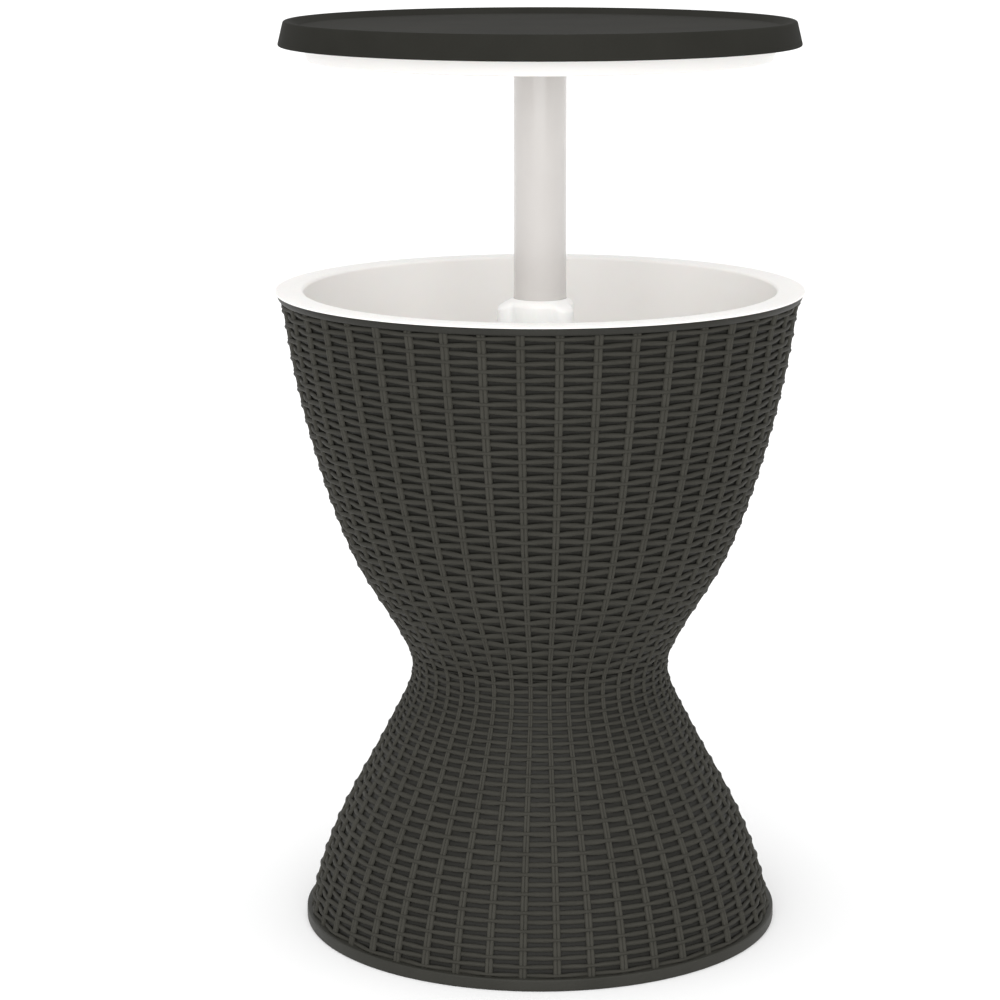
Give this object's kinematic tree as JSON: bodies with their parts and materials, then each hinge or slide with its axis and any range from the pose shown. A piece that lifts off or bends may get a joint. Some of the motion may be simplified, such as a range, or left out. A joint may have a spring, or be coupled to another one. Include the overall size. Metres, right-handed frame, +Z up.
{
  "type": "cooler table with lid",
  "caption": "Hourglass patio table with a woven-look body, an ice bucket inside, and a round tray lid that rises on a central pole.",
  "frame": {"origin": "centre of the foot ring on the floor, on the axis of the pole", "axes": "+Z up along the pole; -Y is the side that faces the picture's camera"},
  "size_m": [0.4886, 0.4884, 0.8478],
  "materials": {
    "woven_resin": "moulded weave texture, anthracite",
    "lid_resin": "fine satin grain, anthracite",
    "white_resin": "smooth moulded satin",
    "pole_resin": "smooth light grey",
    "grey_resin": "as moulded",
    "acetal_resin": "slippery bearing plastic",
    "black_rubber": "moulded",
    "screw_steel": "plated"
  },
  "bodies": {
    "stand": {"lower_shell": "woven_resin", "lower_shell_neck": "woven_resin", "lower_web": "woven_resin", "upper_shell_neck": "woven_resin", "upper_shell": "woven_resin", "waist_screws": "screw_steel", "guide_tube": "grey_resin", "guide_tube_screws": "screw_steel", "liner": "white_resin", "liner_bowl": "white_resin", "liner_column": "white_resin", "guide_collar": "white_resin", "drain_spout": "grey_resin", "drain_gasket": "black_rubber", "drain_nut": "grey_resin"},
    "drain_stopper": {"drain_plug": "white_resin"},
    "slider": {"lock_shoe": "acetal_resin"},
    "lid": {"table_top": "lid_resin", "lid_pan": "white_resin", "lid_pan_screws": "screw_steel", "pole": "pole_resin", "pole_socket": "grey_resin", "pole_socket_screws": "screw_steel", "pole_pin": "screw_steel", "pole_end_plug": "grey_resin", "shoe_washer": "screw_steel", "shoe_screw": "screw_steel"}
  },
  "joints": [
    {"name": "mast_slide", "type": "slide", "parent": "stand", "child": "slider", "axis": [0, 0, 1], "range_m": [-0.2108, 0]},
    {"name": "lid_twist", "type": "hinge", "parent": "slider", "child": "lid", "pos_m": [0, 0, 0.49], "axis": [0, 0, 1], "range_deg": [-60, 0]},
    {"name": "drain_plug_pull", "type": "slide", "parent": "stand", "child": "drain_stopper", "axis": [0, 0, 1], "range_m": [0, 0.05]}
  ]
}
